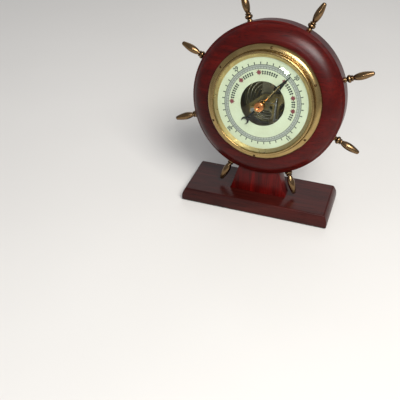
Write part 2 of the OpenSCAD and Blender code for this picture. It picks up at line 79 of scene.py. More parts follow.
# ---- The wheel's own frame: x right, v up the face, f forward out of the face ----

centre = Vector(joints["pressure_turn"]["pos_m"])
f_axis = -Vector(joints["pressure_turn"]["axis"]).normalized()
v_axis = Vector(joints["rocker_turn"]["axis"]).normalized()
x_axis = v_axis.cross(f_axis)
wheel = Matrix((x_axis, v_axis, f_axis)).transposed().to_4x4()
wheel.translation = centre
wheel_inv = wheel.inverted()


def points_of(node, matrix=None):
    """A CAD node's vertices in millimetres, in the wheel's frame unless another is given."""
    mesh = node_objects[node].data
    co = np.empty(len(mesh.vertices) * 3)
    mesh.vertices.foreach_get("co", co)
    co = co.reshape(-1, 3)
    m = np.array(matrix if matrix is not None else wheel_inv)
    return (co @ m[:3, :3].T + m[:3, 3]) / MM


def span(node):
    """Least and greatest radius and level of a CAD node in the wheel's frame, in millimetres."""
    p = points_of(node)
    r = np.hypot(p[:, 0], p[:, 1])
    return float(r.min()), float(r.max()), float(p[:, 2].min()), float(p[:, 2].max())


# ---- Mesh helpers ----

MERGE_MM = 1e-4      # corners closer than this become one
ON_AXIS_MM = 1e-6    # a profile point nearer than this to the axis lies on it
SHARP_DEGREES = 38   # edges that turn more than this are drawn sharp


def arc(cx, cy, rx, ry, a0, a1, n):
    """n + 1 points of an ellipse about (cx, cy), between two angles in degrees."""
    return [(cx + rx * math.cos(math.radians(a0 + (a1 - a0) * i / n)),
             cy + ry * math.sin(math.radians(a0 + (a1 - a0) * i / n))) for i in range(n + 1)]


def fillet(path, n):
    """Rounds the corners of a path of (x, y, radius). The first and last points stay."""
    out = [tuple(path[0][:2])]
    for a, b, c in zip(path, path[1:], path[2:]):
        p, q, s = (Vector(k[:2]) for k in (a, b, c))
        r = b[2] if len(b) > 2 else 0
        if not r:
            out.append(tuple(q))
            continue
        d0, d1 = (p - q).normalized(), (s - q).normalized()
        half = math.acos(max(-1, min(1, d0.dot(d1)))) / 2
        cut = min(r / math.tan(half), (p - q).length * 0.49, (s - q).length * 0.49)
        start, end = q + d0 * cut, q + d1 * cut
        for i in range(n + 1):
            t = i / n
            out.append(tuple((1 - t) ** 2 * start + 2 * t * (1 - t) * q + t * t * end))
    out.append(tuple(path[-1][:2]))
    return out


def finish_mesh(name, bm, material, matrix=None):
    """Makes an object of a mesh drawn in millimetres. matrix then moves it, in metres."""
    bmesh.ops.remove_doubles(bm, verts=bm.verts, dist=MERGE_MM)
    bmesh.ops.recalc_face_normals(bm, faces=bm.faces)
    for face in bm.faces:
        face.smooth = True
    for edge in bm.edges:
        if len(edge.link_faces) == 2 and edge.calc_face_angle(0) > math.radians(SHARP_DEGREES):
            edge.smooth = False
    mesh = bpy.data.meshes.new(name)
    bm.to_mesh(mesh)
    bm.free()
    mesh.transform(Matrix.Scale(MM, 4))
    if matrix is not None:
        mesh.transform(matrix)
    mesh.materials.append(material)
    obj = bpy.data.objects.new(name, mesh)
    scene.collection.objects.link(obj)
    return obj


def lathe(name, profile, material, n, matrix, radius=None):
    """Turns a closed profile of (radius, level) about z. radius(angle, r, z) may change a radius."""
    bm = bmesh.new()
    rings = []
    for k in range(n):
        a = 2 * math.pi * k / n
        ring = []
        for r, z in profile:
            rr = radius(a, r, z) if radius else r
            ring.append(bm.verts.new((rr * math.cos(a), rr * math.sin(a), z)))
        rings.append(ring)
    for k in range(n):
        p, q = rings[k], rings[(k + 1) % n]
        for i in range(len(profile)):
            j = (i + 1) % len(profile)
            if max(profile[i][0], profile[j][0]) >= ON_AXIS_MM:
                bm.faces.new([p[i], q[i], q[j], p[j]])
    return finish_mesh(name, bm, material, matrix)


def loft(name, rings, material):
    """A closed skin over rings of points, with flat ends."""
    bm = bmesh.new()
    made = [[bm.verts.new(p) for p in ring] for ring in rings]
    for a, b in zip(made, made[1:]):
        for i in range(len(a)):
            j = (i + 1) % len(a)
            bm.faces.new((a[i], a[j], b[j], b[i]))
    bm.faces.new(made[0][::-1])
    bm.faces.new(made[-1])
    return finish_mesh(name, bm, material)


def rounded_rectangle(hx, hy, r, z, cy=0, n=5):
    """A level ring of half-widths hx and hy with corners of radius r, about (0, cy)."""
    ring = []
    for k, (sx, sy) in enumerate(((1, 1), (-1, 1), (-1, -1), (1, -1))):
        for x, y in arc(sx * (hx - r), sy * (hy - r), r, r, 90 * k, 90 * k + 90, n):
            ring.append((x, cy + y, z))
    return ring


def place(obj, node):
    """obj stands for a CAD node: it rides on that node's body, and the node itself is hidden."""
    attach(obj, body_of_node[node])
    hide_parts(node)


def add(obj, node):
    """obj is a detail on top of a CAD node that stays."""
    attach(obj, body_of_node[node])


# ---- Materials ----

MIX_A, MIX_B, MIX_RESULT = 6, 7, 2  # the colour sockets of a Mix node


class Tree:
    """Short names for the nodes of one material."""

    def __init__(self, name):
        self.material = bpy.data.materials.new(name)
        self.material.use_nodes = True
        self.tree = self.material.node_tree
        self.tree.nodes.clear()
        self.out = self.new("OutputMaterial")
        self.shader = self.new("BsdfPrincipled")
        self.link(self.shader.outputs[0], self.out.inputs[0])

    def new(self, kind, **settings):
        node = self.tree.nodes.new("ShaderNode" + kind)
        for key, value in settings.items():
            setattr(node, key, value)
        return node

    def link(self, source, target):
        self.tree.links.new(source, target)

    def put(self, target, value):
        """Links a socket to the target, or sets the target to a plain value."""
        if hasattr(value, "links"):
            self.link(value, target)
        else:
            target.default_value = value

    def set(self, **values):
        """Sets inputs of the Principled shader, with _ for each space in a name."""
        for key, value in values.items():
            self.put(self.shader.inputs[key.replace("_", " ")], value)

    def object_coords(self, scale=(1, 1, 1)):
        mapping = self.new("Mapping")
        mapping.inputs["Scale"].default_value = scale
        self.link(self.new("TexCoord").outputs["Object"], mapping.inputs[0])
        return mapping.outputs[0]

    def wheel_coords(self, scale=(1, 1, 1)):
        """Object coordinates turned into the wheel's frame, then scaled."""
        turn = self.new("Mapping")
        rotation = wheel_inv.to_3x3()
        turn.inputs["Rotation"].default_value = rotation.to_euler("XYZ")
        turn.inputs["Location"].default_value = -(rotation @ centre)
        self.link(self.new("TexCoord").outputs["Object"], turn.inputs[0])
        mapping = self.new("Mapping")
        mapping.inputs["Scale"].default_value = scale
        self.link(turn.outputs[0], mapping.inputs[0])
        return mapping.outputs[0]

    def noise(self, coords, scale, detail=4, roughness=0.55, distortion=0.0):
        node = self.new("TexNoise")
        self.link(coords, node.inputs["Vector"])
        for key, value in (("Scale", scale), ("Detail", detail), ("Roughness", roughness),
                           ("Distortion", distortion)):
            node.inputs[key].default_value = value
        return node.outputs[0]

    def ramp(self, value, *stops):
        """Stops are (position, grey) or (position, colour)."""
        node = self.new("ValToRGB")
        elements = node.color_ramp.elements
        while len(elements) < len(stops):
            elements.new(0.5)
        for element, (position, colour) in zip(elements, stops):
            element.position = position
            c = colour if isinstance(colour, tuple) else (colour,) * 3
            element.color = (*c, 1)
        self.link(value, node.inputs[0])
        return node.outputs[0]

    def mix(self, factor, a, b):
        node = self.new("Mix", data_type="RGBA")
        self.put(node.inputs[0], factor)
        self.put(node.inputs[MIX_A], (*a, 1) if isinstance(a, tuple) else a)
        self.put(node.inputs[MIX_B], (*b, 1) if isinstance(b, tuple) else b)
        return node.outputs[MIX_RESULT]

    def math(self, operation, a, b=0.0):
        node = self.new("Math", operation=operation)
        self.put(node.inputs[0], a)
        self.put(node.inputs[1], b)
        return node.outputs[0]

    def radius(self, coords):
        """Distance from the wheel's axis."""
        flat = self.new("VectorMath", operation="MULTIPLY")
        self.link(coords, flat.inputs[0])
        flat.inputs[1].default_value = (1, 1, 0)
        length = self.new("VectorMath", operation="LENGTH")
        self.link(flat.outputs[0], length.inputs[0])
        return length.outputs["Value"]

    def bump(self, height, strength, distance, below=None):
        node = self.new("Bump")
        node.inputs["Strength"].default_value = strength
        node.inputs["Distance"].default_value = distance
        self.link(height, node.inputs["Height"])
        if below is not None:
            self.link(below, node.inputs["Normal"])
        return node.outputs[0]


def wood(name, along, deep, mid, light, turned=False):
    """Varnished mahogany. along is the grain's axis, 0, 1 or 2."""
    t = Tree(name)
    coords = t.wheel_coords if turned else t.object_coords

    def stretched(across, lengthwise):
        scale = [across] * 3
        scale[along] = lengthwise
        return coords(tuple(scale))

    figure = t.noise(stretched(1.0, 0.14), scale=70, detail=3, roughness=0.5, distortion=1.2)
    streak = t.noise(stretched(1.0, 0.05), scale=320, detail=5, roughness=0.6, distortion=0.4)
    pores = t.noise(stretched(1.0, 0.035), scale=1500, detail=3, roughness=0.6)
    cloud = t.noise(coords(), scale=22, detail=2, roughness=0.5)
    base = t.ramp(figure, (0.30, deep), (0.52, mid), (0.72, light))
    base = t.mix(t.ramp(streak, (0.38, 0.0), (0.62, 0.75)), base, deep)
    base = t.mix(t.ramp(cloud, (0.35, 0.0), (0.7, 0.45)), base, mid)
    pore = t.ramp(pores, (0.34, 1.0), (0.44, 0.0))
    colour = t.mix(t.math("MULTIPLY", pore, 0.7), base, tuple(c * 0.25 for c in deep))
    wear = t.noise(coords(), scale=420, detail=6, roughness=0.7)
    rough = t.ramp(wear, (0.3, 0.30), (0.75, 0.46))
    height = t.math("SUBTRACT", t.math("MULTIPLY", streak, 0.3), pore)
    swell = t.noise(coords(), scale=170, detail=2, roughness=0.5)
    grain = t.bump(height, strength=0.07, distance=0.00012)
    normal = t.bump(swell, strength=0.06, distance=0.0004, below=grain)
    t.set(Base_Color=colour, Roughness=rough, Normal=normal, Specular_IOR_Level=0.08,
          Coat_Weight=0.26, Coat_Roughness=0.26, Coat_IOR=1.5)
    return t.material


def brass(name, bright, dull, tarnish, rough=(0.18, 0.36), spun=False, mottle=190, stain=0.5):
    """Brass with tarnish in patches, small scratches and, if spun, turning marks."""
    t = Tree(name)
    coords = t.wheel_coords()
    patch = t.noise(coords, scale=mottle, detail=5, roughness=0.6, distortion=0.5)
    fleck = t.noise(coords, scale=1300, detail=4, roughness=0.65)
    colour = t.mix(t.ramp(patch, (0.3, 0.0), (0.74, 1.0)), bright, dull)
    colour = t.mix(t.math("MULTIPLY", t.ramp(fleck, (0.56, 0.0), (0.74, 1.0)), stain), colour, tarnish)
    roughness = t.ramp(patch, (0.3, rough[0]), (0.75, rough[1]))
    scratch = t.noise(t.wheel_coords((1, 0.06, 1)), scale=2600, detail=2, roughness=0.6)
    normal = t.bump(scratch, strength=0.02, distance=0.00004)
    if spun:
        ring = t.new("TexNoise", noise_dimensions="1D")
        t.link(t.radius(coords), ring.inputs["W"])
        ring.inputs["Scale"].default_value = 3200
        ring.inputs["Detail"].default_value = 3
        normal = t.bump(ring.outputs[0], strength=0.008, distance=0.00004, below=normal)
    t.set(Base_Color=colour, Metallic=1.0, Roughness=roughness, Normal=normal)
    return t.material


def steel(name, bright, dull, rough=(0.22, 0.4), marks=0.12):
    """Brushed steel with a slightly uneven tone. marks is the strength of the brushing."""
    t = Tree(name)
    coords = t.wheel_coords()
    patch = t.noise(coords, scale=150, detail=3, roughness=0.5)
    brushed = t.noise(t.wheel_coords((1, 0.05, 1)), scale=3000, detail=3, roughness=0.6)
    t.set(Base_Color=t.mix(t.ramp(patch, (0.35, 0.0), (0.7, 1.0)), bright, dull), Metallic=1.0,
          Roughness=t.ramp(patch, (0.3, rough[0]), (0.75, rough[1])),
          Normal=t.bump(brushed, strength=marks, distance=0.00003))
    return t.material


def corrugated_metal(name, crest_wear_and_highlight_colour, trough_tarnish_and_shade_colour, crest, pitch):
    """Sheet metal brightened on the crests of its rings and darkened between. This is partly real wear and
    tarnish, and partly a painted highlight on the crests and painted shade in the troughs.

    crest is the radius of one ring and pitch the distance between two, in millimetres.
    """
    t = Tree(name)
    coords = t.wheel_coords()
    from_crest = t.math("SUBTRACT", t.radius(coords), crest * MM)
    turns = t.math("MULTIPLY", from_crest, 2 * math.pi / (pitch * MM))
    ridge = t.math("COSINE", turns)
    lift = t.math("ADD", t.math("MULTIPLY", ridge, 0.5), 0.5)
    patch = t.noise(coords, scale=150, detail=3, roughness=0.5)
    # Mask of the crests, carrying real wear and a painted highlight. The troughs get tarnish and painted shade.
    crest_wear_and_highlight = t.math("MULTIPLY", t.ramp(lift, (0.35, 0.0), (0.9, 1.0)),
                  t.ramp(patch, (0.2, 0.75), (0.6, 1.0)))
    t.set(Base_Color=t.mix(crest_wear_and_highlight, trough_tarnish_and_shade_colour, crest_wear_and_highlight_colour), Metallic=1.0,
          Roughness=t.ramp(lift, (0.2, 0.34), (0.9, 0.18)),
          Normal=t.bump(t.noise(coords, scale=900, detail=3, roughness=0.6), strength=0.02,
                        distance=0.00003))
    return t.material


def paint(name, colour, other, rough, gloss=0.5):
    """Painted or printed surface with slight unevenness."""
    t = Tree(name)
    coords = t.wheel_coords()
    fade = t.noise(coords, scale=60, detail=4, roughness=0.6)
    speck = t.noise(coords, scale=900, detail=3, roughness=0.6)
    tone = t.mix(t.ramp(fade, (0.36, 0.0), (0.72, 1.0)), colour, other)
    tone = t.mix(t.math("MULTIPLY", t.ramp(speck, (0.62, 0.0), (0.74, 1.0)), 0.25), tone,
                 tuple(c * 0.7 for c in colour))
    t.set(Base_Color=tone, Roughness=t.ramp(speck, (0.3, rough[0]), (0.7, rough[1])),
          Normal=t.bump(speck, strength=0.05, distance=0.00004), Specular_IOR_Level=gloss)
    return t.material


def felt(name):
    """Green felt with short loose fibres."""
    t = Tree(name)
    coords = t.object_coords()
    fibre = t.noise(coords, scale=1900, detail=6, roughness=0.75, distortion=1.5)
    lump = t.noise(coords, scale=260, detail=3, roughness=0.6)
    colour = t.mix(t.ramp(fibre, (0.35, 0.0), (0.65, 1.0)), (0.018, 0.05, 0.03), (0.045, 0.10, 0.06))
    colour = t.mix(t.ramp(lump, (0.4, 0.0), (0.7, 0.5)), colour, (0.02, 0.045, 0.03))
    t.set(Base_Color=colour, Roughness=0.95, Sheen_Weight=0.4, Sheen_Roughness=0.5,
          Normal=t.bump(fibre, strength=0.8, distance=0.0003))
    return t.material


def clear_glass(name):
    """Thin clear glass: what is behind shows through unbent. Only faces met from outside have gloss."""
    t = Tree(name)
    t.tree.nodes.remove(t.shader)
    fresnel = t.new("Fresnel")
    fresnel.inputs["IOR"].default_value = 1.42
    smear = t.noise(t.wheel_coords(), scale=90, detail=4, roughness=0.6, distortion=0.6)
    gloss = t.new("BsdfGlossy")
    gloss.inputs["Color"].default_value = (1, 1, 1, 1)
    t.link(t.ramp(smear, (0.35, 0.015), (0.8, 0.06)), gloss.inputs["Roughness"])
    through = t.new("BsdfTransparent")
    through.inputs["Color"].default_value = (0.965, 0.985, 0.965, 1)
    mixed = t.new("MixShader")
    outside = t.math("SUBTRACT", 1.0, t.new("NewGeometry").outputs["Backfacing"])
    t.link(t.math("MULTIPLY", fresnel.outputs[0], outside), mixed.inputs[0])
    t.link(through.outputs[0], mixed.inputs[1])
    t.link(gloss.outputs[0], mixed.inputs[2])
    t.link(mixed.outputs[0], t.out.inputs[0])
    return t.material


GRAIN_ACROSS, GRAIN_UP = 0, 2
RED_DEEP, RED_MID, RED_LIGHT = (0.026, 0.0011, 0.0007), (0.064, 0.0020, 0.0010), (0.098, 0.0050, 0.0024)
wheel_wood = wood("wood_wheel", GRAIN_ACROSS, RED_DEEP, RED_MID, RED_LIGHT, turned=True)
base_wood = wood("wood_base", GRAIN_ACROSS, (0.018, 0.0020, 0.0014), (0.044, 0.0050, 0.0034),
                 (0.066, 0.0090, 0.0060))
post_wood = wood("wood_pedestal", GRAIN_UP, RED_DEEP, (0.110, 0.0024, 0.0018), (0.15, 0.0050, 0.0032))
dowel_wood = wood("wood_dowel", GRAIN_UP, (0.28, 0.16, 0.08), (0.42, 0.27, 0.15), (0.5, 0.34, 0.2))
bezel_brass = brass("brass_bezel", (0.46, 0.325, 0.135), (0.33, 0.230, 0.092), (0.14, 0.09, 0.04),
                    (0.2, 0.28), spun=True, mottle=90, stain=0.2)
handle_brass = brass("brass_handles", (0.235, 0.145, 0.070), (0.145, 0.088, 0.044), (0.06, 0.035, 0.018),
                     (0.16, 0.30), mottle=260, stain=0.35)
nail_brass = brass("brass_nails", (0.10, 0.055, 0.022), (0.045, 0.026, 0.013), (0.02, 0.012, 0.008),
                   (0.3, 0.5), mottle=700)
gilt = brass("brass_ring", (0.56, 0.43, 0.18), (0.42, 0.32, 0.13), (0.2, 0.13, 0.05),
             (0.25, 0.4), spun=True)
copper = brass("copper_knob", (0.78, 0.33, 0.12), (0.55, 0.21, 0.075), (0.12, 0.05, 0.025),
               (0.2, 0.36), mottle=500)
works_brass = brass("brass_works", (0.42, 0.32, 0.13), (0.30, 0.22, 0.09), (0.10, 0.08, 0.035),
                    (0.22, 0.4), mottle=160, stain=0.3)
plate_brass = brass("brass_plates", (0.30, 0.235, 0.095), (0.21, 0.165, 0.068), (0.08, 0.065, 0.03),
                    (0.26, 0.42), mottle=130, stain=0.3)
case_brass = brass("brass_case", (0.44, 0.31, 0.11), (0.27, 0.19, 0.08), (0.08, 0.055, 0.03),
                   (0.3, 0.5), spun=True, mottle=120)
pale_brass = brass("brass_set_hand", (0.80, 0.61, 0.28), (0.62, 0.45, 0.18), (0.3, 0.2, 0.08),
                   (0.15, 0.3))
bright_steel = steel("steel_bright", (0.56, 0.55, 0.52), (0.36, 0.35, 0.32))
spring_steel = steel("steel_spring", (0.30, 0.27, 0.17), (0.20, 0.18, 0.12), (0.22, 0.36), 0.05)
capsule_metal = steel("steel_capsule", (0.64, 0.60, 0.38), (0.52, 0.48, 0.29), (0.12, 0.20), 0.02)
dial_paint = paint("paint_dial", (0.57, 0.62, 0.47), (0.52, 0.55, 0.40), (0.25, 0.38))
band_ink = paint("ink_band", (0.36, 0.385, 0.345), (0.31, 0.325, 0.305), (0.4, 0.5))
dark_ink = paint("ink_dark", (0.030, 0.038, 0.036), (0.05, 0.06, 0.055), (0.4, 0.5), gloss=0.3)
red_ink = paint("ink_red", (0.15, 0.022, 0.034), (0.20, 0.040, 0.052), (0.4, 0.5))
black_paint = paint("paint_hand", (0.008, 0.009, 0.007), (0.014, 0.013, 0.011), (0.3, 0.45), gloss=0.15)
fibre = paint("fibre_washer", (0.05, 0.03, 0.02), (0.09, 0.06, 0.04), (0.6, 0.75))
felt_green = felt("felt_green")
glass = clear_glass("glass_clear")

by_slot = {
    "mahogany": base_wood, "felt": felt_green, "dowel_wood": dowel_wood, "handle_brass": handle_brass,
    "bezel_brass": bezel_brass, "nail_brass": nail_brass, "glass": glass, "gilt_ring": gilt,
    "knob_copper": copper, "fibre": fibre, "movement_brass": works_brass, "plate_brass": plate_brass,
    "set_hand_brass": pale_brass, "hand_black": black_paint, "steel": bright_steel,
    "spring_steel": spring_steel, "capsule_metal": capsule_metal, "dial_enamel": dial_paint,
    "case_brass": case_brass,
}
for node, obj in node_objects.items():
    for k in range(len(obj.material_slots)):
        obj.material_slots[k].material = by_slot[slot_of_node[node]]

# ---- Stand ----

identity = Matrix.Identity(4)
SAME_LEVEL = 0.02  # corners this close in height belong to one level


def skin_widths(node, inner):
    """Level, half X and half Y of a CAD node's outer skin. Levels no wider than inner are bores."""
    p = points_of(node, identity)
    found = []
    for z in sorted(set(np.round(p[:, 2], 2))):
        level = np.abs(p[np.abs(p[:, 2] - z) < SAME_LEVEL])
        if level[:, 0].max() > inner:
            found.append((z, float(level[:, 0].max()), float(level[:, 1].max())))
    return found


BASE_CORNER = 0.9     # radius of the base's upright corners
TOP_ROUND = 0.8       # radius worn on the base's top edge
BORES_WITHIN = 0.85   # bores lie within this share of the base's half-width
FOOT_EASE, FOOT_EASE_H = 0.35, 0.6  # the foot is drawn in by up to this much over this height
blo, bhi = (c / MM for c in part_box("base_block"))
zs, hx, hy = (np.array(c) for c in zip(*skin_widths("base_block", bhi[0] * BORES_WITHIN)))
top, foot = bhi[2], blo[2]


def base_ring(z, inset):
    """Outline of the base at a level, drawn in by inset."""
    return rounded_rectangle(float(np.interp(z, zs, hx)) - inset, float(np.interp(z, zs, hy)) - inset,
                             BASE_CORNER, z)


base_rings = []
for z in [foot, foot + 0.25, foot + 0.6] + list(np.linspace(foot + 1.0, top - 1.0, 16)):
    base_rings.append(base_ring(z, FOOT_EASE * max(0.0, 1 - (z - foot) / FOOT_EASE_H) ** 2))
for a in range(0, 91, 15):
    s, c = math.sin(math.radians(a)), math.cos(math.radians(a))
    base_rings.append(base_ring(top - TOP_ROUND + TOP_ROUND * s, TOP_ROUND * (1 - c)))
place(loft("base", base_rings, base_wood), "base_block")

flo, fhi = (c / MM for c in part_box("base_felt"))
felt_w, felt_d, felt_h = (b - a for a, b in zip(flo, fhi))
FELT_CORNER = 1.2
FUZZ = 0.07          # unevenness of the felt's cut edge
felt_rings = []
# Share of the felt's height, and how far its edge is drawn in there
for k, (share, ease) in enumerate(((0.0, 0.25), (0.2, 0.05), (0.55, 0.0), (0.9, 0.1), (1.0, 0.4))):
    ring = []
    for i, (x, y, _) in enumerate(rounded_rectangle(felt_w / 2 - ease, felt_d / 2 - ease,
                                                    FELT_CORNER, 0, n=8)):
        fuzz = FUZZ * math.sin(i * 2.7 + k) - FUZZ
        ring.append((x + math.copysign(fuzz, x), y + math.copysign(fuzz, y), flo[2] + share * felt_h))
    felt_rings.append(ring)
place(loft("felt_pad", felt_rings, felt_green), "base_felt")

plo, phi = (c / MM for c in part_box("pedestal"))
pp = points_of("pedestal", identity)
FLANK_FROM = 16.5   # corners of the front face further out than this are on the flanks
POST_CORNER = 0.7
half_width_at = {}
for x, _, z in pp[np.abs(pp[:, 1] - plo[1]) < SAME_LEVEL]:
    if abs(x) > FLANK_FROM:
        level = round(float(z), 2)
        half_width_at[level] = max(half_width_at.get(level, 0), round(float(abs(x)), 3))
pz = np.array(sorted(half_width_at))
flank = np.polynomial.polynomial.Polynomial.fit(pz, np.array([half_width_at[z] for z in pz]), 3)
post_y, post_half_d = (plo[1] + phi[1]) / 2, (phi[1] - plo[1]) / 2
post_rings = []
for z in [plo[2], plo[2] + 0.3] + list(np.linspace(plo[2] + 1, phi[2] - 0.4, 26)):
    post_rings.append(rounded_rectangle(float(flank(min(z, pz.max()))), post_half_d, POST_CORNER, z,
                                        post_y, n=4))
place(loft("pedestal_post", post_rings, post_wood), "pedestal")

# ---- Wheel ----

bore, rim, back, face = span("wheel_body")
roll = 53.5                           # radius where the rounded front stands highest
BACK_ROUND, BACK_ARC = 2.05, 2.02     # the rounded back edge, and the smaller arc that stays inside it
BAND_END = 4.9                        # level where the straight side of the wheel ends
arris_r, arris_f = rim - 2.45, 7.6
roll_h = face - arris_f
roll_r = ((arris_r - roll) ** 2 + roll_h ** 2) / (2 * roll_h)
roll_a = math.degrees(math.acos((arris_r - roll) / roll_r))
front_roll = arc(roll, face - roll_r, roll_r, roll_r, roll_a, 90, 40)
wheel_profile = [(bore, back), (rim - BACK_ROUND, back)]
wheel_profile += arc(rim - BACK_ROUND, back + BACK_ROUND, BACK_ARC, BACK_ARC, -90, 0, 12)
wheel_profile += [(rim, 4.0), (rim, BAND_END)]
wheel_profile += fillet([(rim, BAND_END, 0), (rim, 5.3, 0.5), (arris_r + 0.1, arris_f - 0.2, 0.35),
                         (*front_roll[1], 0)], 6)[1:]
wheel_profile += front_roll[2:] + [(roll - 1, face), (bore + 0.3, face), (bore, face - 0.3)]
place(lathe("wheel_rim", wheel_profile, wheel_wood, 256, wheel), "wheel_body")

# ---- Handles ----

NECK_R, GRIP_R = 2, 3.45
GRIP_FOOT = 7.9     # height above the rim where the grip begins
GRIP_STEPS = 44
TIP_H = 1.7         # height of the rounded tip


def grip(t):
    """Radius of a handle's grip at t, from 0 at its foot to 1 at its tip."""
    return NECK_R + (GRIP_R - NECK_R) * math.sin(math.pi * t ** 0.85)


for i in range(1, 9):
    node = f"handle_{i}"
    p = points_of(node)
    mid = p.mean(axis=0)
    angle = math.atan2(mid[0], mid[1])
    out = Vector((math.sin(angle), math.cos(angle), 0))
    length = float((p[:, :2] @ np.array(out[:2])).max()) - rim
    side = Vector((0, 0, 1)).cross(out)
    turn = Matrix((side, out.cross(side), out)).transposed().to_4x4()
    turn.translation = (out * rim + Vector((0, 0, float((p[:, 2].max() + p[:, 2].min()) / 2)))) * MM
    tip = length - TIP_H
    profile = [(0, -0.6), (2.6, -0.6), (2.6, 0.45), (2.5, 0.62), (2.2, 0.9), (1.98, 1.25), (1.95, 1.6)]
    profile += arc(1.6, 3.9, 2.0, 1.9, -68, 68, 24)
    profile += [(1.9, 5.72)] + arc(2.1, 6.5, 0.8, 0.6, -75, 75, 14) + [(1.95, 7.3), (1.93, 7.6)]
    profile += [(grip(k / GRIP_STEPS), GRIP_FOOT + (tip - GRIP_FOOT) * k / GRIP_STEPS)
                for k in range(GRIP_STEPS + 1)]
    profile += arc(0, tip - 0.04, 1.96, TIP_H, 8, 90, 12)
    profile[-1] = (0, profile[-1][1])
    place(lathe(f"turned_{node}", profile, handle_brass, 40, wheel @ turn), node)

# ---- Bezel and glass ----

lip, b_out, _, b_top = span("bezel")
FLANGE_R = 47.6      # radius where the convex flange stands highest
band = arc(FLANGE_R, face - 0.1, b_out - FLANGE_R, 5.3, 8, 96, 56)
rim_o = 46.3         # outside of the upright rim
rim_i = 45.1         # and its inside, below the lip
bezel_profile = [(51.3, face), (b_out - 0.25, face), (b_out, face + 0.2)] + band[1:]
bezel_profile += [(46.85, 19.72), (46.62, 19.42), (46.45, 19.45), (rim_o, 19.75), (rim_o, 20.4),
                  (rim_o, 23.6)]
bezel_profile += arc(rim_o - 0.8, b_top - 0.8, 0.8, 0.8, 0, 90, 12)
bezel_profile += arc(lip + 0.4, b_top - 0.4, 0.4, 0.4, 90, 180, 8)
bezel_profile += [(lip, b_top - 0.75), (rim_i, b_top - 0.8), (rim_i, face + 0.7), (rim_o, face + 0.7),
                  (rim_o, 18.4)]
bezel_profile += arc(FLANGE_R, face - 0.1, 3.7, 4.3, 96, 8, 32)
place(lathe("bezel_ring", bezel_profile, bezel_brass, 256, wheel), "bezel")

g = points_of("crystal")
gr = np.hypot(g[:, 0], g[:, 1])
hole, g_out = float(gr.min()), float(gr.max())
apex = float(g[:, 2].max())
rim_top = float(g[gr > g_out - 0.05][:, 2].max())
thick = float(g[gr < hole + 0.1][:, 2].max() - g[gr < hole + 0.1][:, 2].min())
sphere = (g_out ** 2 + (apex - rim_top) ** 2) / (2 * (apex - rim_top))


def dome(r, radius):
    """Level of a ball of that radius, centred on the glass's own centre, at r from the axis."""
    return apex - sphere + math.sqrt(radius * radius - r * r)


steps = [hole + (g_out - hole) * k / 40 for k in range(41)]
glass_profile = [(r, dome(r, sphere)) for r in steps]
glass_profile += [(r, dome(r, sphere - thick)) for r in steps[::-1]]
place(lathe("glass_dome", glass_profile, glass, 192, wheel), "crystal")

# ---- Dial ----

print_f = span("dial_plate")[3] + 0.03  # the print lies just clear of the dial's face
BAND = (31.0, 34.5)
BAND_CIRCLES = ((30.8, 31.1), (32.7, 32.9), (34.4, 34.8))
# Rays round the scale: inner and outer radius, width at each, and the step in degrees
RAYS = ((32.8, 34.5, 0.16, 0.16, 1.8), (31.0, 32.7, 0.24, 0.24, 4.5), (34.7, 37.0, 0.7, 1.0, 9))
NUMERALS = {28: -135, 29: -45, 30: 45, 31: 135}  # clockwise angle of each from the top
NUMERAL_SIZE, NUMERAL_R = 4.6, 38.3
THICKEN = ((0, 0), (-0.15, 0), (0.15, 0), (0, 0.12), (0, -0.12))  # copies that make a numeral bolder
COPY_LIFT = 0.006  # each copy lies this far above the last
ORNAMENTS = ((-94, 7), (-50, 5), (-13, 7), (38, 5), (71, 3), (95, 3))  # start, and number of fleurons
ROSETTE_R, FLEURON_R = 27.9, 27.6
ROSETTE_TIPS = (2.8, 2.5)  # the length of the petals, by turns
FLEURON_FROM, FLEURON_STEP = 7.1, 4.35  # degrees past the rosette, and between two


def at(angle, r, f=0.0):
    """Point at a clockwise angle from the top of the dial."""
    a = math.radians(angle)
    return (r * math.sin(a), r * math.cos(a), f)


def printed(name, polygons, material, lift=0.0):
    """Flat printed shapes on the dial. Each polygon is a list of (x, v) points."""
    bm = bmesh.new()
    for poly in polygons:
        bm.faces.new([bm.verts.new((x, v, print_f + lift)) for x, v in poly])
    for item in bm.faces:
        if item.normal.z < 0:
            item.normal_flip()
    mesh = bpy.data.meshes.new(name)
    bm.to_mesh(mesh)
    bm.free()
    mesh.transform(wheel @ Matrix.Scale(MM, 4))
    mesh.materials.append(material)
    obj = bpy.data.objects.new(name, mesh)
    scene.collection.objects.link(obj)
    add(obj, "dial_plate")
    return obj


def ring(r0, r1, n=180):
    """A flat ring between two radii, in n quads."""
    quads = []
    for k in range(n):
        a, b = 360 * k / n, 360 * (k + 1) / n
        quads.append([at(a, r0)[:2], at(b, r0)[:2], at(b, r1)[:2], at(a, r1)[:2]])
    return quads


def radial(angle, r0, r1, w0, w1):
    """A radial bar between two radii, w0 wide inside and w1 outside."""
    out, side = Vector(at(angle, 1)[:2]), Vector(at(angle + 90, 1)[:2])
    return [tuple(out * r0 - side * w0 / 2), tuple(out * r0 + side * w0 / 2),
            tuple(out * r1 + side * w1 / 2), tuple(out * r1 - side * w1 / 2)]


printed("scale_band", ring(*BAND), band_ink)
lines = [quad for circle in BAND_CIRCLES for quad in ring(*circle)]
for r0, r1, w0, w1, step in RAYS:
    lines += [radial(a, r0, r1, w0, w1) for a in np.arange(-180, 179, step)]
printed("scale_marks", lines, dark_ink, 0.02)

